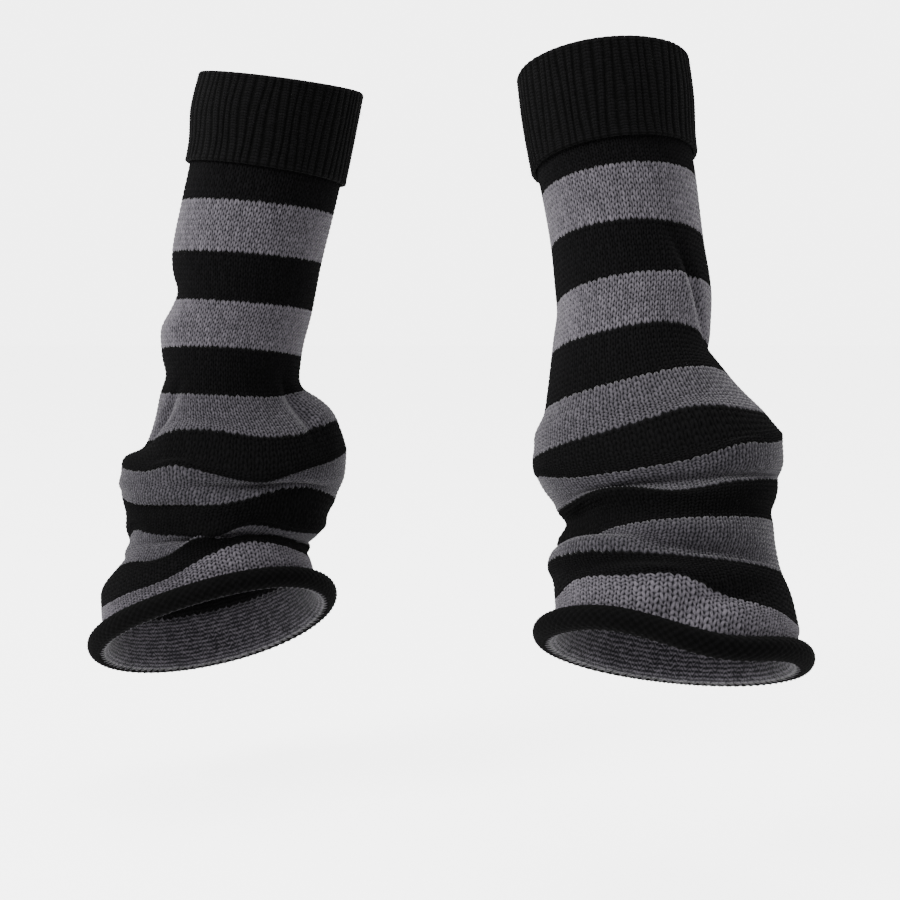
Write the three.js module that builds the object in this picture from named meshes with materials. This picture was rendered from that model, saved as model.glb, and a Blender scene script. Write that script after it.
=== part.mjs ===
import * as THREE from 'three';

// Pair of slouched, striped, knitted leg warmers, standing as they are worn.
// Sizes are in millimetres. The front is -Y and +Z is up. The origin is the middle of the
// grip of the right-hand cuff, which is the one at -X.

// Cloth
const TUBE_WALL = 3.0;       // striped plain knit of the tube
const CUFF_WALL = 2.4;       // one layer of the ribbed cuff
const RIB_HEIGHT = 1.0;      // ribs stand out of the cuff's outer layer
const RIBS = 60;             // ribs round one cuff
const LAYER_GAP = 1.2;       // air between the two layers of the turned-down cuff
const SEAM_GAP = 0.5;        // between the cuff's inner layer and the tube's top edge

// Cuff, in millimetres of cloth below the seam that joins it to the tube
const CUFF_TOP = -64;
const CUFF_EDGE = 10;        // the turned-down layer ends here, over the tube

// Tube, in millimetres of cloth below the same seam
const ROLL_START = 446;      // the hem starts to curl outwards here
const ROLL_RADIUS = 7.0;
const ROLL_CORE = 3.7;       // the curl tightens to this radius
const ROLL_TURN = 400;       // degrees of curl
const ROLL_ROWS = 11;
const TUBE_COLUMNS = 32;
const CUFF_COLUMNS = 40;

// Grey stripes, top and bottom. The rest of the tube is black.
const GREY_STRIPES = [[34, 74], [111, 151], [188, 228], [265, 305], [342, 382], [419, 460]];
const BLACK = new THREE.Color(0.022, 0.022, 0.024);
const GREY = new THREE.Color(0.22, 0.205, 0.225);

// Rows of the tube's mesh: wide where the cloth is smooth, close where it slouches
const TUBE_ROWS = [
  0, 17, 34, 54, 74, 92, 102, 111, 121, 131, 141, 151, 163, 175, 188,
  198, 208, 218, 228, 237, 246, 255, 265, 275, 285, 295, 305,
  314, 323, 332, 342, 352, 362, 372, 382, 391, 400, 409, 419, 428, 437, ROLL_START,
];

// Hoops that the cloth runs through. Each one is a flat oval: how far down the cloth it
// is, its middle, its half width and half depth, its tilt with the +X side up, and its
// tilt with the front up.
// at, x, y, z, half width, half depth, side tilt, front tilt
const RIGHT_HOOPS = [
  [-64, 5, 4, 33, 56.5, 54, -7, 0],
  [-32, -1, 0, 5, 57, 53.5, -8, 2],
  [0, -5, -3, -24, 55, 53, -9, 4],
  [34, -13, -8, -61, 55, 54, -5, 5],
  [74, -21, -12, -98, 54, 54, -4, 5],
  [111, -24, -16, -134, 50, 53, -4, 6],
  [151, -32, -20, -169, 50, 54, -3, 8],
  [188, -32, -24, -202, 52, 55, -3, 6],
  [228, -24, -28, -232, 69, 62, 2, 5],
  [265, -28, -32, -251, 80, 70, 3, 2],
  [305, -33, -36, -280, 79, 72, 2, 8],
  [342, -39, -40, -304, 70, 70, 2, 10],
  [382, -49, -44, -322, 67, 69, 8, 16],
  [419, -50, -48, -341, 78, 73, 14, 24],
  [446, -46, -50, -365, 80, 75, 14, 29],
];
const LEFT_HOOPS = [
  [-64, 236.5, -118, 34, 54, 54, 5, 18],
  [-32, 240, -124, 5, 54, 53, 6, 18],
  [0, 243, -130, -24, 52, 52, 6, 18],
  [34, 247, -138, -49, 51, 52, 5, 18],
  [74, 252, -150, -88, 50, 52, 2, 20],
  [111, 255, -165, -124, 51, 52, 4, 21],
  [151, 253, -180, -160, 52, 54, 2, 20],
  [188, 256, -196, -190, 61, 60, 8, 18],
  [228, 263, -212, -215, 76, 66, 10, 16],
  [265, 269, -228, -232, 79, 68, 9, 9],
  [305, 272, -242, -250, 70, 68, 6, 14],
  [342, 271, -256, -269, 65, 67, 4, 14],
  [382, 268, -268, -293, 73, 70, -3, 16],
  [419, 275, -278, -312, 76, 72, -8, 20],
  [446, 272, -284, -338, 74, 72, -7, 23],
];

// Main creases, as soft ridges and troughs. Each one is placed by its angle round the tube,
// from 0 at the front through 90 at +X, and by its depth down the cloth. It is turned from
// level, and has a half length, a half breadth, a push outwards and a push upwards.
// angle, at, turn, long, across, out, up
const RIGHT_FOLDS = [
  [-90, 103, 0, 35, 10, -3, 0],
  [-85, 134, 0, 45, 14, 4, 0],
  [-88, 172, 0, 35, 11, -3.5, 0],
  [62, 170, 0, 35, 12, -2.5, 0],
  [-56, 208, 120, 28, 6, -5, 0],
  [40, 211, 100, 27, 6, -6, 0],
  [82, 205, 0, 28, 24, 4.5, 11],
  [78, 226, 0, 26, 14, -1.5, 6],
  [85, 265, 0, 25, 12, 0, 5],
  [-36, 228, 0, 20, 13, 2, 7],
  [-26, 260, 0, 17, 12, 2, 9],
  [12, 252, 0, 50, 13, 5, -9],
  [-92, 258, 0, 35, 14, 5, 4],
  [18, 262, 0, 14, 10, 1, -5],
  [-10, 228, 0, 18, 13, 0, 5],
  [-90, 318, 0, 25, 10, -3, 0],
  [92, 318, 0, 22, 10, -5, 0],
  [-84, 280, 0, 25, 10, 4, 0],
  [-58, 338, 0, 16, 12, 0, 6],
  [-88, 372, 0, 25, 9, -4, 0],
  [-24, 380, 0, 16, 12, 0, -5],
  [-88, 400, 0, 28, 13, 5, 0],
  [-18, 446, 0, 60, 14, 0, -7],
  [22, 290, 8, 50, 9, -9, 2],
  [-30, 306, -6, 26, 9, -5, 0],
  [42, 304, 0, 34, 12, 0, 9],
  [4, 305, 0, 24, 12, 0, -4],
  [-84, 303, 0, 22, 15, 0, 8],
  [-8, 333, 0, 14, 10, 4, -7],
  [22, 340, 0, 22, 14, 0, 6],
  [62, 324, 0, 26, 9, 2, -7],
  [8, 354, 0, 48, 9, -9, 0],
  [-80, 345, 0, 30, 12, -4, 0],
  [35, 396, 0, 45, 11, 3, 5],
  [88, 382, 0, 28, 17, 8, 0],
  [30, 414, 0, 26, 13, 0, 8],
  [-18, 417, 0, 20, 12, 0, -6],
  [-50, 414, 0, 28, 13, 1, -6],
  [180, 208, 0, 60, 13, -5, 0],
  [170, 246, 8, 60, 13, 5, 0],
  [185, 288, -6, 70, 11, -6, 0],
  [175, 330, 5, 70, 13, 5, -4],
  [180, 368, 0, 70, 11, -6, 0],
];
const LEFT_FOLDS = [
  [48, 122, 62, 34, 6, -5, 0],
  [33, 118, 62, 30, 8, 2.5, 0],
  [88, 156, 0, 35, 10, -3.5, 0],
  [-80, 116, 0, 30, 14, -1.5, 0],
  [-20, 205, 0, 60, 12, 2, -2],
  [20, 246, 0, 55, 11, 4, -6],
  [28, 145, 0, 40, 26, 0, 6],
  [40, 190, 0, 42, 18, 0, 5],
  [18, 230, 0, 26, 14, 0, 6],
  [34, 262, 0, 20, 12, 0, 6],
  [-86, 204, 0, 30, 10, 3, 0],
  [-88, 336, 0, 22, 8, 7, 0],
  [-8, 419, 0, 16, 12, 1.5, 4],
  [26, 419, 0, 18, 12, 0, -4],
  [14, 446, 0, 34, 14, 0, -13],
  [-85, 264, 0, 28, 16, 0, 7],
  [82, 264, 0, 28, 16, 0, 6],
  [-4, 305, 0, 24, 13, 0, -6],
  [82, 303, 0, 26, 12, 0, 3],
  [-28, 290, 0, 30, 8, -6, 0],
  [-28, 310, 0, 30, 10, 4, 6],
  [30, 294, 4, 42, 9, -7, 0],
  [10, 262, 0, 45, 12, 3, 0],
  [-72, 320, 5, 34, 9, -8, 3],
  [-74, 340, 0, 30, 14, -2, -10],
  [60, 332, -5, 50, 10, -3, 0],
  [20, 374, 3, 42, 9, -7, 0],
  [-8, 348, 8, 40, 9, 3, 0],
  [-45, 372, 0, 35, 11, 3, 7],
  [-82, 420, 0, 16, 12, 0, -9],
  [12, 424, -35, 42, 7, -4.5, 0],
  [-18, 408, -20, 30, 11, 3.5, 0],
  [70, 415, 0, 30, 14, 0, -9],
  [180, 196, 0, 60, 13, -5, 0],
  [190, 236, -8, 60, 13, 5, 0],
  [175, 280, 6, 70, 11, -6, 0],
  [185, 322, -5, 70, 13, 5, -4],
  [180, 362, 0, 70, 11, -6, 0],
];

const radians = (degrees) => degrees * Math.PI / 180;

// The hoop at any depth down the cloth, on a smooth curve through the given hoops
function hoopAt(hoops, at) {
  let i = 0;
  while (i < hoops.length - 2 && at >= hoops[i + 1][0]) {
    i += 1;
  }
  const slope = (k, c) => {
    const low = hoops[Math.max(k - 1, 0)];
    const high = hoops[Math.min(k + 1, hoops.length - 1)];
    return (high[c] - low[c]) / (high[0] - low[0]);
  };
  const span = hoops[i + 1][0] - hoops[i][0];
  const t = (at - hoops[i][0]) / span;
  const t2 = t * t;
  const t3 = t2 * t;
  const value = (c) => (2 * t3 - 3 * t2 + 1) * hoops[i][c]
    + (t3 - 2 * t2 + t) * span * slope(i, c)
    + (3 * t2 - 2 * t3) * hoops[i + 1][c]
    + (t3 - t2) * span * slope(i + 1, c);
  return {
    centre: new THREE.Vector3(value(1), value(2), value(3)),
    wide: value(4),
    deep: value(5),
    side: radians(value(6)),
    front: radians(value(7)),
  };
}

// How far the curled hem has gone outwards and upwards at an angle of its curl
function rollAt(turn) {
  const k = Math.min(Math.max((turn - 110) / 260, 0), 1);
  const r = ROLL_RADIUS - (ROLL_RADIUS - ROLL_CORE) * k * k * (3 - 2 * k);
  return {
    out: ROLL_RADIUS - r * Math.cos(radians(turn)),
    up: -r * Math.sin(radians(turn)),
  };
}

// Middle of the cloth, at an angle round the tube and a depth down the cloth. Past the
// start of the roll the depth is given in degrees of curl.
function cloth(leg, angle, at, turn = 0) {
  const hoop = hoopAt(leg.hoops, at);
  const f = radians(angle);
  const e1 = new THREE.Vector3(Math.cos(hoop.side), 0, Math.sin(hoop.side));
  const e2 = new THREE.Vector3(0, Math.cos(hoop.front), -Math.sin(hoop.front));
  const axis = e1.clone().cross(e2).normalize();
  const out = e1.clone().multiplyScalar(Math.sin(f) * hoop.deep)
    .addScaledVector(e2, -Math.cos(f) * hoop.wide).normalize();
  const point = hoop.centre.clone()
    .addScaledVector(e1, hoop.wide * Math.sin(f))
    .addScaledVector(e2, -hoop.deep * Math.cos(f));
  let push = 0;
  let lift = 0;
  for (const [foldAngle, foldAt, foldTurn, long, across, foldOut, foldUp] of leg.folds) {
    const x = ((angle - foldAngle + 540) % 360) - 180;
    const y = at - foldAt;
    const c = Math.cos(radians(foldTurn));
    const s = Math.sin(radians(foldTurn));
    const g = Math.exp(-(((x * c + y * s) / long) ** 2) - ((y * c - x * s) / across) ** 2);
    push += foldOut * g;
    lift += foldUp * g;
  }
  const roll = rollAt(turn);
  return point.addScaledVector(out, push + roll.out).addScaledVector(axis, lift + roll.up);
}

// The cloth's face at a distance outwards from its middle
function face(leg, angle, at, turn, offset) {
  const step = 0.5;
  const round = cloth(leg, angle + step, at, turn).sub(cloth(leg, angle - step, at, turn));
  const curled = turn > 0;
  const below = curled ? cloth(leg, angle, at, turn + step) : cloth(leg, angle, at + step);
  const above = curled ? cloth(leg, angle, at, turn - step) : cloth(leg, angle, at - step);
  const normal = below.sub(above).cross(round).normalize();
  return cloth(leg, angle, at, turn).addScaledVector(normal, offset);
}

// One ring of points round the tube. Odd points of a ribbed ring stay back.
function ring(leg, { at, turn = 0, offset, columns, rib = 0 }) {
  const points = [];
  for (let i = 0; i < columns; i += 1) {
    const raised = offset + (i % 2 === 0 ? rib : 0);
    points.push(face(leg, i * 360 / columns, at, turn, raised));
  }
  return { points, at: at + turn * ROLL_RADIUS * Math.PI / 180 };
}

// A closed solid from a closed run of rings, each one joined to the next
function solid(name, rings, colourAt, material) {
  const positions = [];
  const colours = [];
  const put = (colour, ...corners) => {
    for (const corner of corners) {
      positions.push(corner.x, corner.y, corner.z);
      colours.push(colour.r, colour.g, colour.b);
    }
  };
  rings.forEach((upper, k) => {
    const lower = rings[(k + 1) % rings.length];
    const colour = colourAt((upper.at + lower.at) / 2);
    const a = upper.points;
    const b = lower.points;
    const cells = Math.min(a.length, b.length);
    const aStep = a.length / cells;
    const bStep = b.length / cells;
    for (let i = 0; i < cells; i += 1) {
      const aMid = i * aStep + Math.floor(aStep / 2 + 0.5);
      const bMid = i * bStep + Math.floor(bStep / 2);
      for (let j = i * aStep; j < aMid; j += 1) {
        put(colour, a[j], b[i * bStep], a[(j + 1) % a.length]);
      }
      for (let j = i * bStep; j < bMid; j += 1) {
        put(colour, a[aMid % a.length], b[j], b[(j + 1) % b.length]);
      }
      for (let j = bMid; j < (i + 1) * bStep; j += 1) {
        put(colour, a[aMid % a.length], b[j % b.length], b[(j + 1) % b.length]);
      }
      for (let j = aMid; j < (i + 1) * aStep; j += 1) {
        put(colour, a[j % a.length], b[((i + 1) * bStep) % b.length], a[(j + 1) % a.length]);
      }
    }
  });
  const geometry = new THREE.BufferGeometry();
  geometry.setAttribute('position', new THREE.Float32BufferAttribute(positions, 3));
  geometry.setAttribute('color', new THREE.Float32BufferAttribute(colours, 3));
  geometry.computeVertexNormals();
  const mesh = new THREE.Mesh(geometry, material);
  mesh.name = name;
  return mesh;
}

// Tube: one knitted tube with stripes across it, open at both ends, its lower edge curled
// outwards into a roll
function tube(name, leg, material) {
  const outer = [];
  const inner = [];
  const add = (at, turn) => {
    outer.push(ring(leg, { at, turn, offset: TUBE_WALL / 2, columns: TUBE_COLUMNS }));
    inner.unshift(ring(leg, { at, turn, offset: -TUBE_WALL / 2, columns: TUBE_COLUMNS }));
  };
  TUBE_ROWS.forEach((at) => add(at, 0));
  for (let k = 1; k <= ROLL_ROWS; k += 1) {
    add(ROLL_START, k * ROLL_TURN / ROLL_ROWS);
  }
  const isGrey = (at) => GREY_STRIPES.some(([top, bottom]) => at >= top && at < bottom);
  return solid(name, [...outer, ...inner], (at) => (isGrey(at) ? GREY : BLACK), material);
}

// Cuff: a ribbed band folded double at its top. The inner layer goes down to the seam with
// the tube, and the ribbed outer layer hangs over the tube's top.
function cuff(name, leg, material) {
  const back = CUFF_WALL / 2;
  const over = back + LAYER_GAP;
  const front = over + CUFF_WALL;
  const middle = (front - back) / 2;
  const ribbed = { offset: front, columns: RIBS * 2, rib: RIB_HEIGHT };
  const plain = (at, offset) => ring(leg, { at, offset, columns: CUFF_COLUMNS });
  return solid(name, [
    ring(leg, { at: CUFF_TOP + 2.5, ...ribbed }),
    ring(leg, { at: -36, ...ribbed }),
    ring(leg, { at: -8, ...ribbed }),
    ring(leg, { at: CUFF_EDGE, ...ribbed }),
    plain(CUFF_EDGE, over),
    plain(-8, over),
    plain(-36, over),
    plain(CUFF_TOP + 4, over),
    plain(CUFF_TOP + 3.4, middle),
    plain(CUFF_TOP + 4, back),
    plain(-36, back),
    plain(-SEAM_GAP, back),
    plain(-SEAM_GAP, -back),
    plain(-36, -back),
    plain(CUFF_TOP + 2.5, -back),
    plain(CUFF_TOP + 0.6, middle - 2.2),
    plain(CUFF_TOP, middle),
    plain(CUFF_TOP + 0.6, middle + 2.2),
  ], () => BLACK, material);
}

const pair = new THREE.Group();
pair.name = 'leg_warmers';
const striped = new THREE.MeshStandardMaterial({ color: 0xffffff, roughness: 1, vertexColors: true });
striped.name = 'grey_yarn';
const black = new THREE.MeshStandardMaterial({ color: 0xffffff, roughness: 1, vertexColors: true });
black.name = 'black_yarn';

const right = { hoops: RIGHT_HOOPS, folds: RIGHT_FOLDS };
const left = { hoops: LEFT_HOOPS, folds: LEFT_FOLDS };
pair.add(
  tube('right_tube', right, striped),
  cuff('right_cuff', right, black),
  tube('left_tube', left, striped),
  cuff('left_cuff', left, black),
);

export default pair;
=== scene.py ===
"""Pair of slouched, striped, knitted leg warmers with turned-down ribbed cuffs and rolled hems."""

import math

import bmesh
import bpy
import numpy as np
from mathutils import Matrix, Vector


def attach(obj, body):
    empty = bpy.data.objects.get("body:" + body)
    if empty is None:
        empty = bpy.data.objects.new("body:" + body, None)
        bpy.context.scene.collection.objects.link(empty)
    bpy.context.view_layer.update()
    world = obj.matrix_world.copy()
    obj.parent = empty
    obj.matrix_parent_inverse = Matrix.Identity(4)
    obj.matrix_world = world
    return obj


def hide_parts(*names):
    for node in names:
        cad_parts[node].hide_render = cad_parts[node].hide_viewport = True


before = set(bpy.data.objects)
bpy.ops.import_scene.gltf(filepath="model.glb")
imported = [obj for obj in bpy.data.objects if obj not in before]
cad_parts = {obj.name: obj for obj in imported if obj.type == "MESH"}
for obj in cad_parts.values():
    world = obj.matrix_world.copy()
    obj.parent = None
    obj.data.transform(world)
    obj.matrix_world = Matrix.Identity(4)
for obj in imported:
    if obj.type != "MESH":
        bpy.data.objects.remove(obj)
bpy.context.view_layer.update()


# The tubes. Each tube is one piece of plain knitting, made in the round with its purl side
# in, black with grey stripes that are knitted in. It is stretched smooth at the top,
# slouches in soft folds lower down, and its end curls outwards.

# Depths are in millimetres of cloth below the seam that joins the tube to its cuff, other
# lengths in millimetres, and angles in degrees
TUBE_WALL = 3.0
WALES = 90
# The curled end: where it starts, its radius there and in its core, and how far it turns
ROLL_START = 446
ROLL_RADIUS = 7.0
ROLL_CORE = 3.7
ROLL_TURN = 400
ROLL_TIGHTENS_AT = 110
ROLL_TIGHTENS_OVER = 260
# Hoops that the cloth runs through, with their middles in millimetres from the origin
# at, x, y, z, half width, half depth, side tilt, front tilt
RIGHT_HOOPS = [
    (-64, 5, 4, 33, 56.5, 54, -7, 0),
    (-32, -1, 0, 5, 57, 53.5, -8, 2),
    (0, -5, -3, -24, 55, 53, -9, 4),
    (34, -13, -8, -61, 55, 54, -5, 5),
    (74, -21, -12, -98, 54, 54, -4, 5),
    (111, -24, -16, -134, 50, 53, -4, 6),
    (151, -32, -20, -169, 50, 54, -3, 8),
    (188, -32, -24, -202, 52, 55, -3, 6),
    (228, -24, -28, -232, 69, 62, 2, 5),
    (265, -28, -32, -251, 80, 70, 3, 2),
    (305, -33, -36, -280, 79, 72, 2, 8),
    (342, -39, -40, -304, 70, 70, 2, 10),
    (382, -49, -44, -322, 67, 69, 8, 16),
    (419, -50, -48, -341, 78, 73, 14, 24),
    (446, -46, -50, -365, 80, 75, 14, 29),
]
LEFT_HOOPS = [
    (-64, 236.5, -118, 34, 54, 54, 5, 18),
    (-32, 240, -124, 5, 54, 53, 6, 18),
    (0, 243, -130, -24, 52, 52, 6, 18),
    (34, 247, -138, -49, 51, 52, 5, 18),
    (74, 252, -150, -88, 50, 52, 2, 20),
    (111, 255, -165, -124, 51, 52, 4, 21),
    (151, 253, -180, -160, 52, 54, 2, 20),
    (188, 256, -196, -190, 61, 60, 8, 18),
    (228, 263, -212, -215, 76, 66, 10, 16),
    (265, 269, -228, -232, 79, 68, 9, 9),
    (305, 272, -242, -250, 70, 68, 6, 14),
    (342, 271, -256, -269, 65, 67, 4, 14),
    (382, 268, -268, -293, 73, 70, -3, 16),
    (419, 275, -278, -312, 76, 72, -8, 20),
    (446, 272, -284, -338, 74, 72, -7, 23),
]
# Soft ridges and troughs, placed by their angle round the tube from the front. Each runs
# along the hoop unless it is turned, fades over its length (degrees) and its breadth
# (millimetres), and moves the cloth outwards and upwards.
# angle, at, turn, long, across, out, up
RIGHT_FOLDS = [
    (-52, 130, -20, 20, 13, 3, 0),
    (8, 140, 0, 28, 22, -2.5, 0),
    (-90, 103, 0, 35, 10, -3, 0),
    (-85, 134, 0, 45, 14, 4, 0),
    (-88, 172, 0, 35, 11, -3.5, 0),
    (62, 170, 0, 35, 12, -2.5, 0),
    (-56, 208, 120, 28, 6, -5, 0),
    (55, 211, 95, 30, 7, -8, 0),
    (82, 205, 0, 28, 24, 4.5, 11),
    (78, 226, 0, 26, 14, -1.5, 6),
    (85, 265, 0, 25, 12, 0, 5),
    (-36, 228, 0, 20, 13, 2, 7),
    (-26, 260, 0, 17, 12, 2, 9),
    (12, 252, 0, 50, 13, 5, -9),
    (-92, 258, 0, 35, 14, 5, 4),
    (18, 262, 0, 14, 10, 1, -5),
    (-10, 228, 0, 18, 13, 0, 5),
    (-90, 318, 0, 25, 10, -3, 0),
    (92, 318, 0, 22, 10, -5, 0),
    (-84, 280, 0, 25, 10, 4, 0),
    (-58, 338, 0, 16, 12, 0, 6),
    (-88, 372, 0, 25, 9, -4, 0),
    (-24, 380, 0, 16, 12, 0, -5),
    (3, 381, 0, 14, 12, 4.5, 6.5),
    (-88, 400, 0, 28, 13, 5, 0),
    (-18, 446, 0, 60, 14, 0, -7),
    (22, 290, 8, 50, 9, -9, 2),
    (-30, 306, -6, 26, 9, -5, 0),
    (42, 304, 0, 34, 12, 0, 9),
    (4, 305, 0, 24, 12, 0, -4),
    (-84, 303, 0, 22, 15, 0, 8),
    (0, 334, 0, 14, 10, 4.5, -7),
    (22, 340, 0, 22, 14, 0, 6),
    (62, 324, 0, 26, 9, 2, -7),
    (8, 354, 0, 48, 9, -9, 0),
    (-80, 345, 0, 30, 12, -4, 0),
    (35, 396, 0, 45, 11, 3, 5),
    (88, 382, 0, 28, 17, 8, 0),
    (30, 414, 0, 26, 13, 0, 8),
    (-18, 417, 0, 20, 12, 0, -6),
    (-50, 414, 0, 28, 13, 1, -6),
    (180, 208, 0, 60, 13, -5, 0),
    (170, 246, 8, 60, 13, 5, 0),
    (185, 288, -6, 70, 11, -6, 0),
    (175, 330, 5, 70, 13, 5, -4),
    (180, 368, 0, 70, 11, -6, 0),
]
LEFT_FOLDS = [
    (48, 122, 62, 34, 6, -5, 0),
    (33, 118, 62, 30, 8, 2.5, 0),
    (88, 156, 0, 35, 10, -3.5, 0),
    (-80, 116, 0, 30, 14, -1.5, 0),
    (-20, 205, 0, 60, 12, 2, -2),
    (20, 246, 0, 55, 11, 4, -6),
    (28, 145, 0, 40, 26, 0, 6),
    (40, 190, 0, 42, 18, 0, 5),
    (18, 230, 0, 26, 14, 0, 6),
    (34, 262, 0, 20, 12, 0, 6),
    (-86, 204, 0, 30, 10, 3, 0),
    (-88, 336, 0, 22, 8, 7, 0),
    (-8, 419, 0, 16, 12, 1.5, 4),
    (26, 419, 0, 18, 12, 0, -4),
    (14, 446, 0, 34, 14, 0, -13),
    (-85, 264, 0, 28, 16, 0, 7),
    (82, 264, 0, 28, 16, 0, 6),
    (-4, 305, 0, 24, 13, 0, -6),
    (82, 303, 0, 26, 12, 0, 3),
    (-28, 290, 0, 30, 8, -6, 0),
    (-28, 310, 0, 30, 10, 4, 6),
    (30, 294, 4, 42, 9, -7, 0),
    (10, 262, 0, 45, 12, 3, 0),
    (-72, 320, 5, 34, 9, -8, 3),
    (-74, 340, 0, 30, 14, -2, -10),
    (60, 332, -5, 50, 10, -3, 0),
    (20, 374, 3, 42, 9, -7, 0),
    (-8, 348, 8, 40, 9, 3, 0),
    (-45, 372, 0, 35, 11, 3, 7),
    (-82, 420, 0, 16, 12, 0, -9),
    (12, 424, -35, 42, 7, -4.5, 0),
    (-18, 408, -20, 30, 11, 3.5, 0),
    (70, 415, 0, 30, 14, 0, -9),
    (180, 196, 0, 60, 13, -5, 0),
    (190, 236, -8, 60, 13, 5, 0),
    (175, 280, 6, 70, 11, -6, 0),
    (185, 322, -5, 70, 13, 5, -4),
    (180, 362, 0, 70, 11, -6, 0),
]
LEGS = {"right": (RIGHT_HOOPS, RIGHT_FOLDS), "left": (LEFT_HOOPS, LEFT_FOLDS)}

# Each stripe's yarn, where it starts down the cloth, and the courses of stitches in it
# yarn, start, courses
STRIPES = [
    ("black", 0, 9), ("grey", 34, 10), ("black", 74, 10), ("grey", 111, 10),
    ("black", 151, 10), ("grey", 188, 11), ("black", 228, 10), ("grey", 265, 11),
    ("black", 305, 10), ("grey", 342, 11), ("black", 382, 11), ("grey", 419, 14),
]
# The black yarn that follows the last stripe and makes the rolled hem
ROLL_BLACK_START = 455.5
ROLL_COURSES = 8

# Painted light and shade by depth: a share above nought darkens the slouched folds, which face away
# from the light, as painted shade; one below nought lightens the last grey stripe, which faces up,
# as painted light
# at, share
SLOUCH_LIGHT_AND_SHADE = [
    (0, 0.0), (150, 0.0), (190, 0.75), (228, 0.8),
    (265, 1.1), (385, 1.1), (419, -0.1), (446, -0.2),
]
MILLIMETRE = 0.001


def hoop_at(hoops, at):
    """The hoops' values at depths down the cloth, on a smooth curve through the table."""
    table = np.array(hoops, float)
    depth, values = table[:, 0], table[:, 1:]
    above = np.maximum(np.arange(len(depth)) - 1, 0)
    below = np.minimum(np.arange(len(depth)) + 1, len(depth) - 1)
    slope = (values[below] - values[above]) / (depth[below] - depth[above])[:, None]
    i = np.clip(np.searchsorted(depth, at, side="right") - 1, 0, len(depth) - 2)
    span = (depth[i + 1] - depth[i])[..., None]
    t = (at - depth[i])[..., None] / span
    return (
        (2 * t**3 - 3 * t**2 + 1) * values[i]
        + (t**3 - 2 * t**2 + t) * span * slope[i]
        + (3 * t**2 - 2 * t**3) * values[i + 1]
        + (t**3 - t**2) * span * slope[i + 1]
    )


def curl_path():
    """The curled hem's section: cloth length, and how far out and up it has gone."""
    turn = np.linspace(0, ROLL_TURN, 401)
    k = np.clip((turn - ROLL_TIGHTENS_AT) / ROLL_TIGHTENS_OVER, 0, 1)
    radius = ROLL_RADIUS - (ROLL_RADIUS - ROLL_CORE) * k * k * (3 - 2 * k)
    out = ROLL_RADIUS - radius * np.cos(np.radians(turn))
    up = -radius * np.sin(np.radians(turn))
    length = np.concatenate([[0], np.cumsum(np.hypot(np.diff(out), np.diff(up)))])
    return length, out, up


CURL_LENGTH, CURL_OUT, CURL_UP = curl_path()
TUBE_END = ROLL_START + CURL_LENGTH[-1]


def cloth(leg, angle, at):
    """Middle of the cloth, in millimetres, at angles round the tube and depths down it."""
    hoops, folds = LEGS[leg]
    above_roll = np.minimum(at, ROLL_START)
    x, y, z, wide, deep, side, front = np.moveaxis(hoop_at(hoops, above_roll), -1, 0)
    side, front, round_ = np.radians(side), np.radians(front), np.radians(angle)
    nought = np.zeros_like(side)
    across = np.stack([np.cos(side), nought, np.sin(side)], -1)
    back = np.stack([nought, np.cos(front), -np.sin(front)], -1)
    axis = np.cross(across, back)
    axis /= np.linalg.norm(axis, axis=-1, keepdims=True)
    out = (np.sin(round_) * deep)[..., None] * across - (np.cos(round_) * wide)[..., None] * back
    out /= np.linalg.norm(out, axis=-1, keepdims=True)
    point = np.stack([x, y, z], -1) + (wide * np.sin(round_))[..., None] * across
    point -= (deep * np.cos(round_))[..., None] * back
    push = np.interp(at - ROLL_START, CURL_LENGTH, CURL_OUT)
    lift = np.interp(at - ROLL_START, CURL_LENGTH, CURL_UP)
    for fold_angle, fold_at, turn, long, wide_, fold_out, fold_up in folds:
        u = (angle - fold_angle + 180) % 360 - 180
        v = above_roll - fold_at
        c, s = math.cos(math.radians(turn)), math.sin(math.radians(turn))
        shape = np.exp(-(((u * c + v * s) / long) ** 2) - ((v * c - u * s) / wide_) ** 2)
        push = push + fold_out * shape
        lift = lift + fold_up * shape
    return point + push[..., None] * out + lift[..., None] * axis


def cloth_face(leg, angle, at, offset):
    """A face of the cloth, in metres, at a distance in millimetres out from its middle."""
    step = 0.4  # degrees and millimetres to either side, for the slope of the cloth
    round_ = cloth(leg, angle + step, at) - cloth(leg, angle - step, at)
    down = cloth(leg, angle, at + step) - cloth(leg, angle, at - step)
    normal = np.cross(down, round_)
    normal /= np.linalg.norm(normal, axis=-1, keepdims=True)
    return (cloth(leg, angle, at) + offset[..., None] * normal) * MILLIMETRE


def wrapped_cloth(name, columns, section, place):
    """A closed ring of cloth: a grid wrapped round the tube and round its own section.

    place takes each point's column and section row, and gives where it goes, its stitch
    (wale and course), 1 where it is on the back of the cloth, and its depth down it.
    """
    grid = bmesh.new()
    bmesh.ops.create_grid(grid, x_segments=columns, y_segments=section, size=0.5)
    mesh = bpy.data.meshes.new(name)
    grid.to_mesh(mesh)
    grid.free()
    flat = np.empty(len(mesh.vertices) * 3)
    mesh.vertices.foreach_get("co", flat)
    flat = flat.reshape(-1, 3) + 0.5
    column = np.rint(flat[:, 0] * columns).astype(int)
    row = np.rint(flat[:, 1] * section).astype(int)
    points, stitch, back, depth = place(column, row)
    # Painted light and shade by depth, carried to the materials in the side map's second channel
    slouch_light_and_shade = np.interp(depth, *np.array(SLOUCH_LIGHT_AND_SHADE).T)
    mesh.vertices.foreach_set("co", points.ravel())
    corner = np.empty(len(mesh.loops), int)
    mesh.loops.foreach_get("vertex_index", corner)
    stitches = mesh.uv_layers.new(name="stitch")
    stitches.uv.foreach_set("vector", stitch[corner].ravel())
    # The side map: 1 on the back of the cloth, and the painted light and shade by depth
    back_and_painted_shading = mesh.uv_layers.new(name="side")
    back_and_painted_shading.uv.foreach_set("vector", np.stack([back, slouch_light_and_shade], -1)[corner].ravel())
    return mesh


# How close points of a seam lie, in metres
SEAM_MERGE = 2e-6


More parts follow.
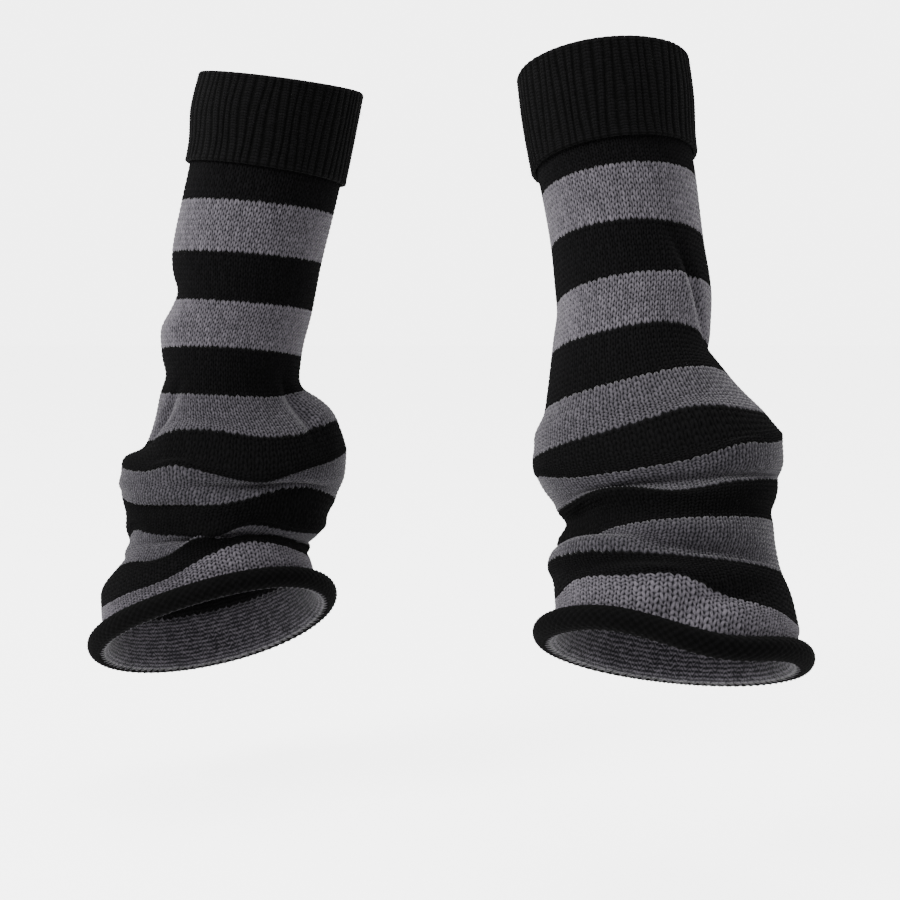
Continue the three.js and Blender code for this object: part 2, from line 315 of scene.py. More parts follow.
def joined_piece(name, meshes, material):
    """One object of several rings of cloth, with the grids' own seams closed."""
    whole = bmesh.new()
    for mesh in meshes:
        whole.from_mesh(mesh)
        bpy.data.meshes.remove(mesh)
    bmesh.ops.remove_doubles(whole, verts=whole.verts, dist=SEAM_MERGE)
    result = bpy.data.meshes.new(name)
    whole.to_mesh(result)
    whole.free()
    result.shade_smooth()
    result.materials.append(material)
    piece = bpy.data.objects.new(name, result)
    bpy.context.scene.collection.objects.link(piece)
    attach(piece, "root")
    return piece


def node(tree, kind, inputs=None, **settings):
    """A shader node with its settings, and its inputs set to values or joined to sockets."""
    made = tree.nodes.new(kind)
    for key, value in settings.items():
        setattr(made, key, value)
    for key, value in (inputs or {}).items():
        socket = made.inputs[key]
        if isinstance(value, bpy.types.NodeSocket):
            tree.links.new(value, socket)
        else:
            socket.default_value = value
    return made


def sums(tree, operation, *values):
    """A Math node's result."""
    made = tree.nodes.new("ShaderNodeMath")
    made.operation = operation
    for socket, value in zip(made.inputs, values):
        if isinstance(value, bpy.types.NodeSocket):
            tree.links.new(value, socket)
        else:
            socket.default_value = value
    return made.outputs[0]


# How far the yarn's plies stand out, as a share of a stitch's height
PLY_DEPTH = 0.14


def in_stitch(tree, wale, course):
    """Distances from the middle of a wale and from a course's crest, and the crest's height."""
    from_middle = sums(tree, "SUBTRACT", sums(tree, "FRACT", wale), 0.5)
    from_middle = sums(tree, "MULTIPLY", sums(tree, "ABSOLUTE", from_middle), 2.0)
    in_course = sums(tree, "FRACT", course)
    from_crest = sums(tree, "ABSOLUTE", sums(tree, "SUBTRACT", in_course, 0.5))
    from_crest = sums(tree, "MULTIPLY", from_crest, 2.0)
    crest = sums(tree, "SUBTRACT", 1.0, sums(tree, "POWER", from_crest, 2.2))
    return from_middle, in_course, from_crest, crest


def stitch_chance(tree, wale, course):
    """A random value for each leg of each stitch."""
    half_wale = sums(tree, "FLOOR", sums(tree, "MULTIPLY", wale, 2.0))
    corner = {0: half_wale, 1: sums(tree, "FLOOR", course)}
    corner = node(tree, "ShaderNodeCombineXYZ", corner).outputs[0]
    noise = node(tree, "ShaderNodeTexWhiteNoise", {"Vector": corner}, noise_dimensions="2D")
    return noise.outputs["Value"]


def put_out(tree, height, hollow_shade, chance):
    """Outputs of a group that draws a knit: its height, its shade and its chance."""
    values = {"Height": height, "Painted shade": hollow_shade, "Chance": chance}
    for label in values:
        tree.interface.new_socket(label, in_out="OUTPUT", socket_type="NodeSocketFloat")
    out = tree.nodes.new("NodeGroupOutput")
    for label, value in values.items():
        tree.links.new(value, out.inputs[label])


def plain_knit_group():
    """Height, shade and chance of each stitch: legs in a V on the face, bumps on the back."""
    tree = bpy.data.node_groups.new("plain_knit", "ShaderNodeTree")
    stitch = node(tree, "ShaderNodeUVMap", uv_map="stitch").outputs[0]
    side = node(tree, "ShaderNodeUVMap", uv_map="side").outputs[0]
    wale, course, _ = node(tree, "ShaderNodeSeparateXYZ", {0: stitch}).outputs
    back, slouch_light_and_shade, _ = node(tree, "ShaderNodeSeparateXYZ", {0: side}).outputs
    # How far a point is from the middle of its wale and from the crest of its course, 0 to 1
    from_middle, in_course, from_crest, crest = in_stitch(tree, wale, course)
    # The face: two rounded legs in each wale, and a dot of painted shade where four of their ends
    # meet
    leg_end = sums(tree, "SUBTRACT", sums(tree, "MULTIPLY", from_middle, 2.0), 1.0)
    leg_end = sums(tree, "ABSOLUTE", leg_end)
    leg = sums(tree, "MULTIPLY", sums(tree, "POWER", leg_end, 3.0), 0.65)
    leg = sums(tree, "SUBTRACT", 1.0, leg)
    face = sums(tree, "MULTIPLY", sums(tree, "MULTIPLY_ADD", crest, 0.6, 0.4), leg)
    dot_shade = sums(tree, "POWER", from_crest, 1.6)
    dot_shade = sums(tree, "MULTIPLY", dot_shade, sums(tree, "POWER", leg_end, 1.6))
    # The twist of the yarn's plies, and the back's offset bumps
    ply_turn = sums(tree, "MULTIPLY", from_middle, 17.0)
    ply_turn = sums(tree, "ADD", ply_turn, sums(tree, "MULTIPLY", in_course, 9.0))
    ply = sums(tree, "MULTIPLY", sums(tree, "SINE", ply_turn), PLY_DEPTH)
    wave_x = sums(tree, "COSINE", sums(tree, "MULTIPLY", wale, 2 * math.pi))
    wave_y = sums(tree, "COSINE", sums(tree, "MULTIPLY", course, 2 * math.pi))
    purl = sums(tree, "MULTIPLY_ADD", sums(tree, "MULTIPLY", wave_x, wave_y), 0.5, 0.5)
    hill = node(tree, "ShaderNodeMix", {0: back, 2: face, 3: purl}).outputs[0]
    height = sums(tree, "ADD", hill, sums(tree, "MULTIPLY", ply, hill))
    # Painted shade: in the hollows and the dots, and down the ladders between wales, deeper where
    # the painted slouch shade lies
    hollow_shade = sums(tree, "POWER", sums(tree, "SUBTRACT", 1.0, hill), 1.4)
    between = sums(tree, "MULTIPLY_ADD", hollow_shade, 0.45, sums(tree, "MULTIPLY", dot_shade, 1.1))
    ladder_shade = sums(tree, "MULTIPLY_ADD", slouch_light_and_shade, 0.3, 0.12)
    ladder_shade = sums(tree, "MULTIPLY", sums(tree, "POWER", leg_end, 3.0), ladder_shade)
    between = sums(tree, "ADD", between, ladder_shade)
    # The back takes painted shade all over, on top of its hollows
    back_shade = sums(tree, "ADD", hollow_shade, 0.15)
    hollow_shade = node(tree, "ShaderNodeMix", {0: back, 2: between, 3: back_shade}).outputs[0]
    put_out(tree, height, hollow_shade, stitch_chance(tree, wale, course))
    return tree


def yarn_group():
    """Fibres of a soft spun yarn: a fine mottle of its colour with painted shade and light laid on
    it, and a fibrous surface.
    """
    tree = bpy.data.node_groups.new("spun_yarn", "ShaderNodeTree")
    sockets = [
        ("Dark fibre", "INPUT", "Color"), ("Light fibre", "INPUT", "Color"),
        ("Painted shade", "INPUT", "Float"), ("Chance", "INPUT", "Float"),
        ("Colour", "OUTPUT", "Color"), ("Fibre", "OUTPUT", "Float"),
        ("Roughness", "OUTPUT", "Float"),
    ]
    for label, way, kind in sockets:
        tree.interface.new_socket(label, in_out=way, socket_type="NodeSocket" + kind)
    given = tree.nodes.new("NodeGroupInput")
    out = tree.nodes.new("NodeGroupOutput")
    place = node(tree, "ShaderNodeTexCoord").outputs["Object"]
    side = node(tree, "ShaderNodeUVMap", uv_map="side").outputs[0]
    slouch_light_and_shade = node(tree, "ShaderNodeSeparateXYZ", {0: side}).outputs[1]
    coarse = node(
        tree, "ShaderNodeTexNoise",
        {"Vector": place, "Scale": 60.0, "Detail": 2.0, "Roughness": 0.5},
    ).outputs[0]
    fine = node(
        tree, "ShaderNodeTexNoise",
        {"Vector": place, "Scale": 1500.0, "Detail": 3.0, "Roughness": 0.6},
    ).outputs[0]
    # Share of light fibres: mottled finely, by stitch and in clouds
    mottle = sums(tree, "MULTIPLY_ADD", sums(tree, "SUBTRACT", fine, 0.5), 1.2, 0.62)
    for source, weight in ((given.outputs["Chance"], 0.26), (coarse, 0.15)):
        uneven = sums(tree, "MULTIPLY", sums(tree, "SUBTRACT", source, 0.5), weight)
        mottle = sums(tree, "ADD", mottle, uneven)
    # Painted shade takes the share down in the hollows, and the painted light and shade by depth
    # scales it: darker down the slouch, lighter on the last grey stripe
    shaded = sums(tree, "MULTIPLY", given.outputs["Painted shade"], 0.85)
    mottle = sums(tree, "SUBTRACT", mottle, shaded)
    mottle = sums(tree, "MULTIPLY", mottle, sums(tree, "MULTIPLY_ADD", slouch_light_and_shade, -0.5, 1.0))
    mottle = node(tree, "ShaderNodeClamp", {0: mottle}).outputs[0]
    colour = node(
        tree, "ShaderNodeMix",
        {0: mottle, 6: given.outputs["Dark fibre"], 7: given.outputs["Light fibre"]},
        data_type="RGBA",
    ).outputs[2]
    rough = sums(tree, "MULTIPLY_ADD", fine, 0.2, 0.78)
    tree.links.new(colour, out.inputs["Colour"])
    tree.links.new(fine, out.inputs["Fibre"])
    tree.links.new(rough, out.inputs["Roughness"])
    return tree


KNIT = plain_knit_group()
YARN = yarn_group()

# Darkest and lightest fibres of each yarn
GREY_FIBRES = ((0.008, 0.008, 0.010), (0.177, 0.162, 0.187))
BLACK_FIBRES = ((0.0002, 0.0002, 0.0002), (0.0062, 0.0059, 0.0065))


def knit_material(name, fibres, sheen, pattern):
    """Knitted cloth of one yarn, with its stitches from a pattern group."""
    material = bpy.data.materials.new(name)
    material.use_nodes = True
    tree = material.node_tree
    shader = tree.nodes["Principled BSDF"]
    stitches = node(tree, "ShaderNodeGroup", node_tree=pattern)
    yarn = node(tree, "ShaderNodeGroup", node_tree=YARN)
    yarn.inputs["Dark fibre"].default_value = (*fibres[0], 1)
    yarn.inputs["Light fibre"].default_value = (*fibres[1], 1)
    tree.links.new(stitches.outputs["Painted shade"], yarn.inputs["Painted shade"])
    tree.links.new(stitches.outputs["Chance"], yarn.inputs["Chance"])
    # Loose fibres add to the stitches' relief, which is 0.6 mm deep
    rise = sums(tree, "MULTIPLY_ADD", yarn.outputs["Fibre"], 0.35, stitches.outputs["Height"])
    bump = node(tree, "ShaderNodeBump", {"Strength": 0.8, "Distance": 0.0006, "Height": rise})
    tree.links.new(yarn.outputs["Colour"], shader.inputs["Base Color"])
    tree.links.new(yarn.outputs["Roughness"], shader.inputs["Roughness"])
    tree.links.new(bump.outputs[0], shader.inputs["Normal"])
    shader.inputs["Specular IOR Level"].default_value = 0.07
    shader.inputs["Sheen Weight"].default_value = sheen
    shader.inputs["Sheen Roughness"].default_value = 0.45
    return material


GREY_KNIT = knit_material("grey_plain_knit", GREY_FIBRES, 0.22, KNIT)
BLACK_KNIT = knit_material("black_plain_knit", BLACK_FIBRES, 0.012, KNIT)

# Columns of the mesh in one wale, and rows in one course
STITCH_COLUMNS = 4
ROWS_IN_COURSE = 3
# How far the stitches' legs slope: in courses inside a stripe, in millimetres at its edges
TOOTH = 0.65
EDGE_TOOTH = 2.5
# Height of the yarn on the face, in millimetres, across the columns of one wale: in the
# middle of a course, and where two courses meet
FACE_CREST = (-0.65, 0.50, -0.40, 0.50)
FACE_SINK = (-1.15, 0.05, -1.15, 0.05)
# How uneven the teeth are, as a share of their length and in columns of lean
TOOTH_UNEVEN = 0.4
TOOTH_LEAN = 0.5
# How far rows of stitches wander up and down, and over what length that dies away
WOBBLE = (0.30, 0.32)
WOBBLE_FADE = 8.0


def course_depth(course, start, courses, end):
    """Depth down the cloth of a course of a stripe."""
    return start + (end - start) * course / courses


def unevenness(turn, at):
    """Share of a tooth's length, and columns of lean, at a place in a row of stitches.

    Only whole numbers multiply turn, here and below, so that each row joins up all round.
    """
    share = 1 + TOOTH_UNEVEN * np.sin(31 * turn + 0.37 * at) * np.sin(13 * turn - 0.21 * at)
    lean = TOOTH_LEAN * np.sin(17 * turn + 0.41 * at) * np.sin(29 * turn - 0.23 * at)
    return share, lean


def stripe_ring(leg, start, courses, end, first_course):
    """One stripe of a tube as a closed ring: stitches on its face, a plain back.

    The section runs down the face, up the back, and ends on the row that it began with.
    """
    rounds = WALES * STITCH_COLUMNS
    face_rows = courses * ROWS_IN_COURSE
    back_rows = courses // 2
    section = face_rows + 1 + back_rows + 1

    def place(column, row):
        on_face = row <= face_rows
        closing = row == section
        back_row = row - face_rows - 1
        course = np.where(on_face, row / ROWS_IN_COURSE, courses - back_row * (courses / back_rows))
        course = np.where(closing, 0, course)
        on_face = on_face | closing
        crest = np.where(closing, 0.0, np.sin(math.pi * (course % 1.0)) ** 0.8)
        k = column % STITCH_COLUMNS
        rise = crest * np.array(FACE_CREST)[k] + (1 - crest) * np.array(FACE_SINK)[k]
        offset = np.where(on_face, TUBE_WALL / 2 + rise, -TUBE_WALL / 2)
        in_wale = (column / STITCH_COLUMNS) % 1.0
        turn = column * 2 * math.pi / rounds
        even = course_depth(course, start, courses, end)
        share, lean = unevenness(turn, even)
        inside = np.clip(np.minimum(course, courses - course), 0, 1)
        tooth = EDGE_TOOTH * share * (1 - inside) + TOOTH * inside * (end - start) / courses
        zigzag = tooth * (0.5 - np.abs(in_wale - 0.5) * 2)
        wobble = WOBBLE[0] * np.sin(21 * turn + 0.57 * even) * np.sin(6 * turn - 0.31 * even)
        wobble = wobble + WOBBLE[1] * np.sin(38 * turn + 0.83 * even)
        wobble = wobble * np.clip((ROLL_BLACK_START - even) / WOBBLE_FADE, 0, 1)
        at = np.clip(even - zigzag + wobble, 0.0, None)
        angle = -(column + lean) * 360.0 / rounds
        stitch = np.stack([column / STITCH_COLUMNS, first_course + course], -1)
        return cloth_face(leg, angle, at, offset), stitch, np.where(on_face, 0.0, 1.0), at

    return wrapped_cloth("ring", rounds, section, place)


edges = [start for _, start, _ in STRIPES] + [ROLL_BLACK_START]
first_courses = np.concatenate([[0], np.cumsum([courses for _, _, courses in STRIPES])])
for leg in LEGS:
    rings = {"black": [], "grey": []}
    for index, (yarn, start, courses) in enumerate(STRIPES):
        rings[yarn].append(
            stripe_ring(leg, start, courses, edges[index + 1], int(first_courses[index]))
        )
    black = joined_piece(leg + "_black_stripes", rings["black"], BLACK_KNIT)
    grey = joined_piece(leg + "_grey_stripes", rings["grey"], GREY_KNIT)
    for piece in (black, grey):
        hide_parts(leg + "_tube")


# The rolled hems. Each hem is the end of the tube's own black cloth, cast off and left to
# curl outwards by itself, so that it shows the bumps of the purl side. Each row of bumps
# lies half a wale along from the one before.

# Height of a bump across the columns of one wale, and of the cloth's two edges
BUMP_HEIGHT = (0.7, 0.12, -0.45, 0.12)
BUMP_END = -0.2
HIDDEN_INSET = 0.25
# The roll's yarn is a darker copy of the stripes' black, as painted shade on the roll, which faces
# the lights
SHADED_PURL_FIBRES = ((0.0001, 0.0001, 0.0001), (0.0030, 0.0028, 0.0032))
SHADED_BLACK_PURL = knit_material("shaded_black_purl_knit", SHADED_PURL_FIBRES, 0.005, KNIT)


def hem_roll(leg, first_course):
    """The curled end of a tube as a closed ring, fine on the side that shows."""
    rounds = WALES * STITCH_COLUMNS
    hidden_rows = ROLL_COURSES
    bump_rows = ROLL_COURSES * 2
    section = hidden_rows + 1 + bump_rows + 1

    def place(column, row):
        closing = row == section
        hidden = (row <= hidden_rows) | closing
        bump_row = row - hidden_rows - 1
        course = np.where(hidden, row.astype(float), ROLL_COURSES - bump_row / 2)
        course = np.where(closing, 0.0, course)
        k = (column + np.where(bump_row % 2 == 0, 0, 2)) % STITCH_COLUMNS
        ends = (bump_row <= 0) | (bump_row >= bump_rows)
        bump = np.where(ends, BUMP_END, np.array(BUMP_HEIGHT)[k])
        offset = np.where(hidden, TUBE_WALL / 2 - HIDDEN_INSET, -TUBE_WALL / 2 - bump)
        in_wale = (column / STITCH_COLUMNS) % 1.0
        share, lean = unevenness(column * 2 * math.pi / rounds, ROLL_BLACK_START)
        at_edge = np.where(hidden, np.clip(1 - course, 0, 1), course == 0)
        zigzag = EDGE_TOOTH * share * (0.5 - np.abs(in_wale - 0.5) * 2)
        at = course_depth(course, ROLL_BLACK_START, ROLL_COURSES, TUBE_END) - zigzag * at_edge
        angle = -(column + lean * at_edge) * 360.0 / rounds
        stitch = np.stack([column / STITCH_COLUMNS, first_course + course], -1)
        return cloth_face(leg, angle, at, offset), stitch, np.where(hidden, 0.0, 1.0), at

    return wrapped_cloth("ring", rounds, section, place)


for leg in LEGS:
    ring = hem_roll(leg, int(first_courses[-1]))
    roll = joined_piece(leg + "_rolled_hem", [ring], SHADED_BLACK_PURL)
    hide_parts(leg + "_tube")


# The cuffs. Each cuff is a band of one-and-one rib in the black yarn, linked on at the
# tube's top edge and turned down double over it. Its ribs stand out as columns of small
# Vs with sunken lines between, and its cast-off edge shows as a row of flat links.

# Its fold and its edge, as depths below the tube's seam, and its walls and gaps
CUFF_TOP = -64
CUFF_EDGE = 10
CUFF_WALL = 2.4
LAYER_GAP = 1.2
SEAM_GAP = 0.5
RIBS = 60
RIB_COLUMNS = 8
RIB_COURSES = 30
# Share of a rib's height across its columns, from one sunken line to the next, and where
# two of its courses meet
RIB_SHAPE = (0.0, 0.30, 0.80, 1.0, 0.90, 1.0, 0.80, 0.30)
RIB_SINK = 0.76
RIB_RISE = 1.05
# How uneven the ribs' heights are, and how many columns they bunch and lean by
RIB_UNEVEN = 0.22
RIB_BUNCH = (1.5, 0.9)
# How far the rib's Vs slope, and how far the cast-off links stand out, in millimetres
RIB_TOOTH = 0.25
LINK_RISE = 0.35


def rib_knit_group():
    """Height, shade and chance of each stitch of the rib: Vs on the ribs, hollows between."""
    tree = bpy.data.node_groups.new("rib_knit", "ShaderNodeTree")
    stitch = node(tree, "ShaderNodeUVMap", uv_map="stitch").outputs[0]
    rib, course, _ = node(tree, "ShaderNodeSeparateXYZ", {0: stitch}).outputs
    from_middle, in_course, _, crest = in_stitch(tree, rib, course)
    side_of_leg = sums(tree, "SUBTRACT", sums(tree, "MULTIPLY", from_middle, 2.4), 0.9)
    side_of_leg = sums(tree, "MINIMUM", sums(tree, "ABSOLUTE", side_of_leg), 1.0)
    leg_rise = sums(tree, "MULTIPLY", sums(tree, "POWER", side_of_leg, 3.0), 0.7)
    hill = sums(tree, "MULTIPLY", crest, sums(tree, "SUBTRACT", 1.0, leg_rise))
    ply_turn = sums(tree, "MULTIPLY", in_course, 9.0)
    ply_turn = sums(tree, "MULTIPLY_ADD", from_middle, 15.0, ply_turn)
    ply = sums(tree, "MULTIPLY", sums(tree, "SINE", ply_turn), PLY_DEPTH)
    height = sums(tree, "ADD", hill, sums(tree, "MULTIPLY", ply, hill))
    # Painted shade in the hollows between each rib's Vs and along the sunken lines between ribs
    hollow_shade = sums(tree, "MAXIMUM", sums(tree, "SUBTRACT", 1.0, hill), from_middle)
    hollow_shade = sums(tree, "POWER", hollow_shade, 1.6)
    put_out(tree, height, hollow_shade, stitch_chance(tree, rib, course))
    return tree


BLACK_RIB = knit_material("black_rib_knit", BLACK_FIBRES, 0.009, rib_knit_group())


def turned_down_cuff(leg):
    """A cuff as one closed ring: outer layer, cast-off edge, inner layer and top fold."""
    rounds = RIBS * RIB_COLUMNS
    # Distances out from the middle of the tube's cloth: of the inner layer's faces (back and
    # its opposite), of the outer layer's two faces (over and front), and of the fold's middle
    back = CUFF_WALL / 2
    over = back + LAYER_GAP
    front = over + CUFF_WALL
    middle = (front - back) / 2
    # The rest of the section, from the outer layer's edge up behind it, down and up the inner
    # layer, and over the top fold
    # at, distance outwards, share of the ribs' height
    run = [
        (CUFF_EDGE + 0.5, front - 0.5, 0.5), (CUFF_EDGE + 0.9, front - 1.2, 0.3),
        (CUFF_EDGE + 0.5, over + 0.4, 0.15), (CUFF_EDGE, over, 0.0), (4, over, 0.0),
        (-8, over, 0.0), (-22, over, 0.0), (-36, over, 0.0), (-50, over, 0.0),
        (CUFF_TOP + 4, over, 0.0), (CUFF_TOP + 3.4, middle, 0.0), (CUFF_TOP + 4, back, 0.0),
        (-50, back, 0.0), (-36, back, 0.0), (-20, back, 0.0), (-8, back, 0.0),
        (-SEAM_GAP, back, 0.0), (-SEAM_GAP, -back, 0.0), (-6, -back, -0.25),
        (-14, -back, -0.3), (-22, -back, -0.3), (-30, -back, -0.3), (-38, -back, -0.3),
        (-46, -back, -0.3), (-54, -back, -0.3), (CUFF_TOP + 4.5, -back, -0.3),
        (CUFF_TOP + 2.0, -back + 0.5, -0.2), (CUFF_TOP + 0.7, middle - 2.0, 0.1),
        (CUFF_TOP + 0.1, middle - 0.7, 0.4), (CUFF_TOP + 0.1, middle + 0.7, 0.6),
        (CUFF_TOP + 0.7, middle + 2.0, 0.85),
    ]
    outer_top = CUFF_TOP + 2.2
    outer_rows = RIB_COURSES * 2
    section = outer_rows + 1 + len(run)
    run_at, run_off, run_rib = np.array(run).T

    def place(column, row):
        on_outer = row <= outer_rows
        closing = row == section
        k = column % RIB_COLUMNS
        turn = column * 2 * math.pi / rounds
        uneven = 1 + RIB_UNEVEN * np.sin(9 * turn) * np.sin(4 * turn + 1)
        shape = np.array(RIB_SHAPE)[k] * uneven
        course = row / 2
        in_rib = k / RIB_COLUMNS
        zigzag = RIB_TOOTH - np.abs(in_rib - 0.5)
        ends = np.clip(np.minimum(row, outer_rows - row) / 3.0, 0, 1)
        down = outer_top + (CUFF_EDGE - outer_top) * (course - zigzag * ends) / RIB_COURSES
        stitch_rise = np.where(row % 2 == 1, 1.0, RIB_SINK)
        low_edge = np.clip((row - outer_rows + 3) / 2.0, 0, 1)
        outer_off = front + RIB_RISE * shape * stitch_rise * (1 - 0.25 * low_edge)
        outer_off = outer_off + LINK_RISE * low_edge
        j = np.clip(row - outer_rows - 1, 0, len(run) - 1)
        at = np.where(on_outer, down, run_at[j])
        offset = np.where(on_outer, outer_off, run_off[j] + RIB_RISE * run_rib[j] * shape)
        at = np.where(closing, outer_top, at)
        offset = np.where(closing, front + RIB_RISE * shape * RIB_SINK, offset)
        bunch = RIB_BUNCH[0] * np.sin(7 * turn + at * 0.03)
        bunch = bunch + RIB_BUNCH[1] * np.sin(16 * turn - at * 0.05)
        angle = -(column + bunch) * 360.0 / rounds
        course = np.where(on_outer, course, RIB_COURSES + (row - outer_rows) * 0.5)
        stitch = np.stack([column / RIB_COLUMNS, course], -1)
        return cloth_face(leg, angle, at, offset), stitch, np.where(on_outer, 0.0, 1.0), at

    return wrapped_cloth("ring", rounds, section, place)


for leg in LEGS:
    cuff = joined_piece(leg + "_ribbed_cuff", [turned_down_cuff(leg)], BLACK_RIB)
    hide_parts(leg + "_cuff")


# Loose fibres. The yarn is a soft brushed acrylic, so short fine hairs stand off the knit
# everywhere and soften its edges. Each one is a thin bent cone of its stripe's colour.

# How many times one hair is doubled
HAIR_COPIES = 11
# How far above the middle of the cloth the hairs stand, in millimetres
KNIT_RAISED = 1.6
RIB_RAISED = 5.6
# Hairs' lengths and radii, in millimetres: the least, and what chance adds
HAIR_LENGTH = (1.2, 2.6)
HAIR_RADIUS = (0.045, 0.03)


def fibre_material(name, colour):
    """A single soft fibre, slightly rough, with a mottled colour."""
    material = bpy.data.materials.new(name)
    material.use_nodes = True
    tree = material.node_tree
    shader = tree.nodes["Principled BSDF"]
    place = node(tree, "ShaderNodeTexCoord").outputs["Object"]
    speckle = node(tree, "ShaderNodeTexNoise", {"Vector": place, "Scale": 400.0}).outputs[0]
    tint = node(
        tree, "ShaderNodeMix",
        {0: speckle, 6: (*[c * 0.6 for c in colour], 1), 7: (*[c * 1.4 for c in colour], 1)},
        data_type="RGBA",
    ).outputs[2]
    tree.links.new(tint, shader.inputs["Base Color"])
    shader.inputs["Roughness"].default_value = 0.8
    shader.inputs["Specular IOR Level"].default_value = 0.3
    return material


GREY_FIBRE = fibre_material("grey_fibre", (0.17, 0.16, 0.185))
BLACK_FIBRE = fibre_material("black_fibre", (0.005, 0.005, 0.0054))


def loose_fibres(name, leg, spans, raised, seed, material):
    """Many short hairs on the outside of a tube's cloth, inside spans of depth."""
    hair = bmesh.new()
    bmesh.ops.create_cone(
        hair, cap_ends=False, segments=3, radius1=1.0, radius2=0.0, depth=1.0,
    )
    bmesh.ops.bisect_plane(
        hair, geom=hair.verts[:] + hair.edges[:] + hair.faces[:],
        plane_co=(0, 0, 0), plane_no=(0, 0, 1),
    )
    base = [tuple(v.co) for v in hair.verts]
    for _ in range(HAIR_COPIES):
        bmesh.ops.duplicate(hair, geom=hair.verts[:] + hair.edges[:] + hair.faces[:])
    mesh = bpy.data.meshes.new(name)
    hair.to_mesh(mesh)
    hair.free()
    count = 2**HAIR_COPIES
    flat = np.empty(len(mesh.vertices) * 3)
    mesh.vertices.foreach_get("co", flat)
    shape = flat.reshape(count, len(base), 3)
    chance = np.random.default_rng(seed)
    widths = np.array([b - a for a, b in spans], float)
    pick = chance.choice(len(spans), count, p=widths / widths.sum())
    starts = np.array([a for a, _ in spans], float)
    at = starts[pick] + chance.random(count) * widths[pick]
    angle = chance.random(count) * 360.0
    root = cloth_face(leg, angle, at, np.full(count, raised - 0.3))
    tip = cloth_face(leg, angle, at, np.full(count, raised + 1.0))
    normal = tip - root
    normal /= np.linalg.norm(normal, axis=-1, keepdims=True)
    lean = chance.normal(size=(count, 3)) + [0, 0, -0.25]
    way = normal * 0.9 + lean * 0.55
    way /= np.linalg.norm(way, axis=-1, keepdims=True)
    droop = np.cross(way, chance.normal(size=(count, 3)))
    length = HAIR_LENGTH[0] + HAIR_LENGTH[1] * chance.random(count) ** 2
    length = length[:, None, None] * MILLIMETRE
    radius = HAIR_RADIUS[0] + HAIR_RADIUS[1] * chance.random(count)
    radius = radius[:, None, None] * MILLIMETRE
    side = np.cross(way, [0.31, 0.17, 0.93])
    side /= np.linalg.norm(side, axis=-1, keepdims=True)
    other = np.cross(way, side)
    up = shape[..., 2:3] + 0.5
    points = root[:, None] + up * length * way[:, None] + up**2 * length * 0.6 * droop[:, None]
    points = points + radius * (shape[..., 0:1] * side[:, None] + shape[..., 1:2] * other[:, None])
    mesh.vertices.foreach_set("co", points.ravel())
    mesh.shade_smooth()
    mesh.materials.append(material)
    piece = bpy.data.objects.new(name, mesh)
    bpy.context.scene.collection.objects.link(piece)
    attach(piece, "root")
    return piece


stripe_spans = {"black": [], "grey": []}
for (yarn, start, _), end in zip(STRIPES, edges[1:]):
    stripe_spans[yarn].append((start, end))
stripe_spans["black"][0] = (CUFF_EDGE + 1, stripe_spans["black"][0][1])
cuff_span = [(CUFF_TOP + 3, CUFF_EDGE)]
for number, leg in enumerate(LEGS):
    black_hairs = loose_fibres(
        leg + "_black_fibres", leg, stripe_spans["black"], KNIT_RAISED, 11 + number,
        BLACK_FIBRE,
    )
    grey_hairs = loose_fibres(
        leg + "_grey_fibres", leg, stripe_spans["grey"], KNIT_RAISED, 21 + number,
        GREY_FIBRE,
    )
    cuff_hairs = loose_fibres(
        leg + "_cuff_fibres", leg, cuff_span, RIB_RAISED, 31 + number,
        BLACK_FIBRE,
    )


# Floor and studio: a plain pale floor below the pair, a pale room, and large soft lights on
# both sides and above, so that the knit shows without hard shadows. The camera sees the
# room and the floor brighter than they light the pair.

# The floor's height in metres, and how bright the floor and the room are
FLOOR_LEVEL = -0.492
FLOOR_REFLECTS = 1.2
ROOM_LIGHT = 1.1
BACKGROUND = 5.0
floor_grid = bmesh.new()
bmesh.ops.create_grid(floor_grid, x_segments=1, y_segments=1, size=6.0)
bmesh.ops.translate(floor_grid, verts=floor_grid.verts, vec=(0.13, 0.0, FLOOR_LEVEL))
floor_mesh = bpy.data.meshes.new("floor")
floor_grid.to_mesh(floor_mesh)
floor_grid.free()
floor = bpy.data.objects.new("floor", floor_mesh)
bpy.context.scene.collection.objects.link(floor)
floor_paint = bpy.data.materials.new("pale_floor")
floor_paint.use_nodes = True
floor_shader = floor_paint.node_tree.nodes["Principled BSDF"]
floor_shader.inputs["Base Color"].default_value = (0.92, 0.92, 0.92, 1)
floor_shader.inputs["Roughness"].default_value = 0.9
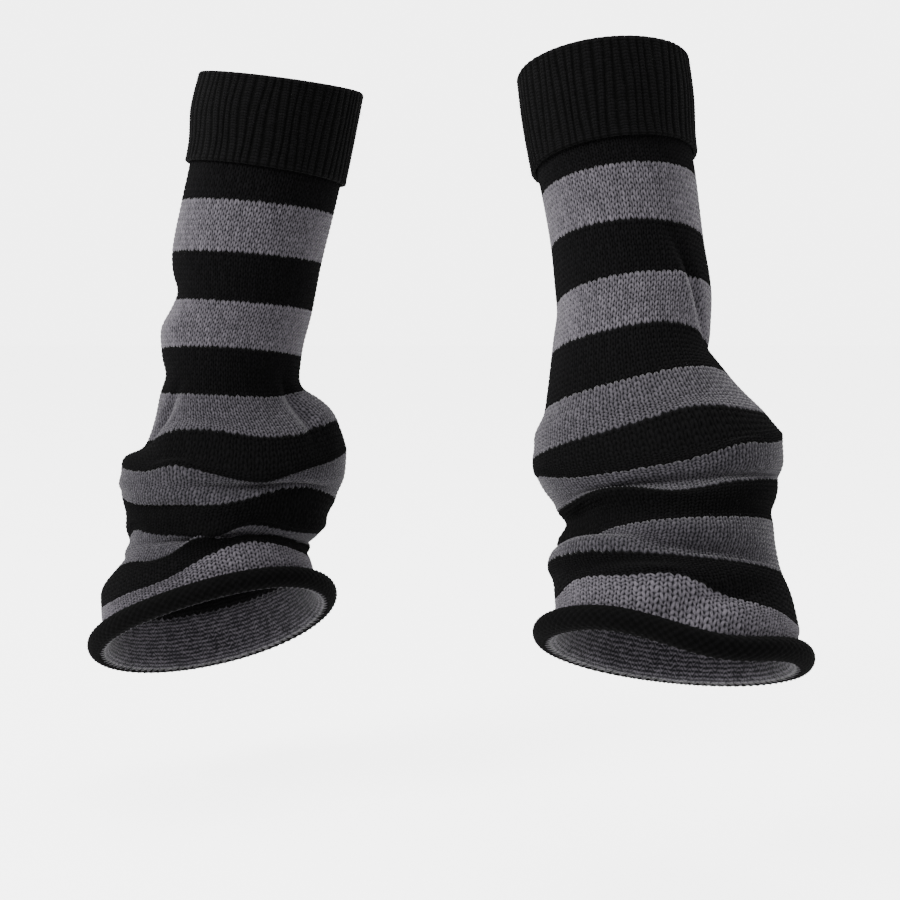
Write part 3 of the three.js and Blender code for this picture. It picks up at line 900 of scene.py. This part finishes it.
floor_shader.inputs["Emission Color"].default_value = (1.0, 1.0, 1.0, 1)
floor_tree = floor_paint.node_tree
straight = node(floor_tree, "ShaderNodeLightPath").outputs["Is Camera Ray"]
glow = sums(floor_tree, "MULTIPLY", straight, BACKGROUND - FLOOR_REFLECTS)
floor_tree.links.new(glow, floor_shader.inputs["Emission Strength"])
floor_mesh.materials.append(floor_paint)

world = bpy.data.worlds.new("pale_room")
world.use_nodes = True
room = world.node_tree
seen = room.nodes["Background"]
seen.inputs["Color"].default_value = (1.0, 1.0, 1.0, 1)
seen.inputs["Strength"].default_value = BACKGROUND
soft = node(room, "ShaderNodeBackground", {"Color": (1.0, 1.0, 1.0, 1), "Strength": ROOM_LIGHT})
straight = node(room, "ShaderNodeLightPath").outputs["Is Camera Ray"]
both = node(room, "ShaderNodeMixShader", {0: straight, 1: soft.outputs[0], 2: seen.outputs[0]})
room.links.new(both.outputs[0], room.nodes["World Output"].inputs["Surface"])
bpy.context.scene.world = world

# Each light's name, place and size in metres, and its power in watts
SOFT_LIGHTS = [
    ("key_light", (-2.2, -1.4, 1.7), 1.3, 114.0),
    ("fill_light", (1.2, -2.2, 0.6), 1.8, 5.0),
    ("top_light", (0.2, 0.3, 2.2), 1.6, 32.0),
]
LIGHT_AIM = Vector((0.13, -0.1, -0.2))
for name, spot, size, power in SOFT_LIGHTS:
    lamp = bpy.data.lights.new(name, "AREA")
    lamp.size = size
    lamp.energy = power
    light = bpy.data.objects.new(name, lamp)
    light.location = spot
    aim = LIGHT_AIM - Vector(spot)
    light.rotation_euler = aim.to_track_quat("-Z", "Y").to_euler()
    bpy.context.scene.collection.objects.link(light)

CAMERA_PLACE = (0.131, -1.579, -0.078)
CAMERA_TILT = 84
lens = bpy.data.cameras.new("camera")
lens.sensor_width = 36.0
lens.lens = 83.3
camera = bpy.data.objects.new("camera", lens)
camera.location = CAMERA_PLACE
camera.rotation_euler = (math.radians(CAMERA_TILT), 0, 0)
bpy.context.scene.collection.objects.link(camera)
bpy.context.scene.camera = camera
